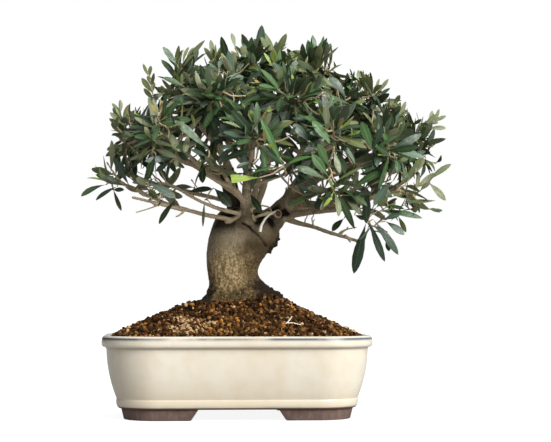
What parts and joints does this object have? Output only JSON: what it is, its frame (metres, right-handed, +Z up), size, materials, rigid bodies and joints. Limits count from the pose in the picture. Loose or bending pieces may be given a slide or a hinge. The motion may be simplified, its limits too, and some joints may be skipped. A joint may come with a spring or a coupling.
{
  "type": "bonsai olive tree in a glazed pot",
  "caption": "Bonsai olive tree with a stout flared trunk, spreading boughs and a wide domed leafy crown, on a soil mound in a shallow cream glazed pot with corner feet.",
  "frame": {"origin": "on the ground under the centre of the whole part's box, midway across the crown", "axes": "+Z up, -Y towards the viewer of the pot's long front side, +X to that viewer's right"},
  "size_m": [0.4106, 0.2824, 0.4289],
  "materials": {
    "glaze": "cream gloss glaze with a thin blue-green line along the rim's edge",
    "clay": "bare purple-brown fired clay",
    "soil": "loose brown grit with pale and orange grains",
    "bark": "grey-brown bark, smooth above and speckled below",
    "deadwood": "dark weathered dead wood",
    "foliage": "leathery dark green leaves, grey-green beneath"
  },
  "bodies": {
    "root": {"back_left_bough": "bark", "back_low_left_bough": "bark", "back_low_right_bough": "bark", "back_mid_left_bough": "bark", "back_right_bough": "bark", "back_stem": "bark", "dead_stub": "deadwood", "foliage_back_left": "foliage", "foliage_back_low_left": "foliage", "foliage_back_low_right": "foliage", "foliage_back_mid_left": "foliage", "foliage_back_mid_right": "foliage", "foliage_back_right": "foliage", "foliage_front_left": "foliage", "foliage_front_low": "foliage", "foliage_front_mid_left": "foliage", "foliage_front_mid_right": "foliage", "foliage_front_right": "foliage", "foliage_inner_left": "foliage", "foliage_inner_right": "foliage", "foliage_left_inner": "foliage", "foliage_left_low": "foliage", "foliage_left_side": "foliage", "foliage_right_droop": "foliage", "foliage_right_front": "foliage", "foliage_right_low": "foliage", "foliage_right_outer": "foliage", "foliage_right_side": "foliage", "foliage_top_left": "foliage", "foliage_top_mid": "foliage", "foliage_top_right": "foliage", "foliage_upper_right": "foliage", "foot_back_left": "clay", "foot_back_right": "clay", "foot_front_left": "clay", "foot_front_right": "clay", "front_left_bough": "bark", "front_low_bough": "bark", "front_mid_left_bough": "bark", "front_right_bough": "bark", "front_stem": "bark", "inner_left_bough": "bark", "inner_right_bough": "bark", "left_inner_bough": "bark", "left_low_bough": "bark", "left_side_bough": "bark", "left_stem": "bark", "pot_body": "glaze", "pruned_bough": "bark", "right_bough": "bark", "right_droop_bough": "bark", "right_front_bough": "bark", "right_low_bough": "bark", "right_outer_bough": "bark", "right_side_bough": "bark", "right_stem": "bark", "soil": "soil", "trunk": "bark", "upper_right_bough": "bark"}
  },
  "joints": []
}
